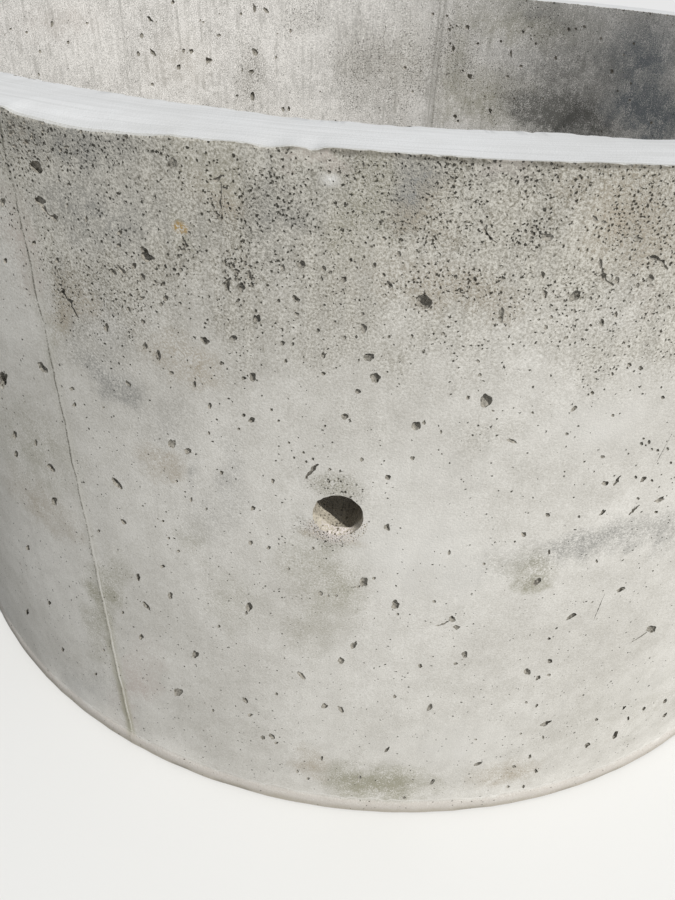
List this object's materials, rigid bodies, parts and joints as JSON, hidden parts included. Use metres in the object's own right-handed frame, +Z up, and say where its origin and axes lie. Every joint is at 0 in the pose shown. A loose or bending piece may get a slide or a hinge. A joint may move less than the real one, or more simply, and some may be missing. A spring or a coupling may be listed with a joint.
{
  "type": "concrete culvert ring",
  "caption": "Precast concrete ring for culverts and manholes, open at both ends, with plain ends and lifting holes through its wall.",
  "frame": {"origin": "centre of the ring at the level of its base", "axes": "+Z up along the ring's axis, -Y out through the front lifting hole"},
  "size_m": [1.6858, 1.6858, 0.89],
  "materials": {
    "concrete": "dry cast concrete, matt, pitted with air voids, with mould seams and light staining"
  },
  "bodies": {
    "root": {"ring_wall": "concrete"}
  },
  "joints": []
}
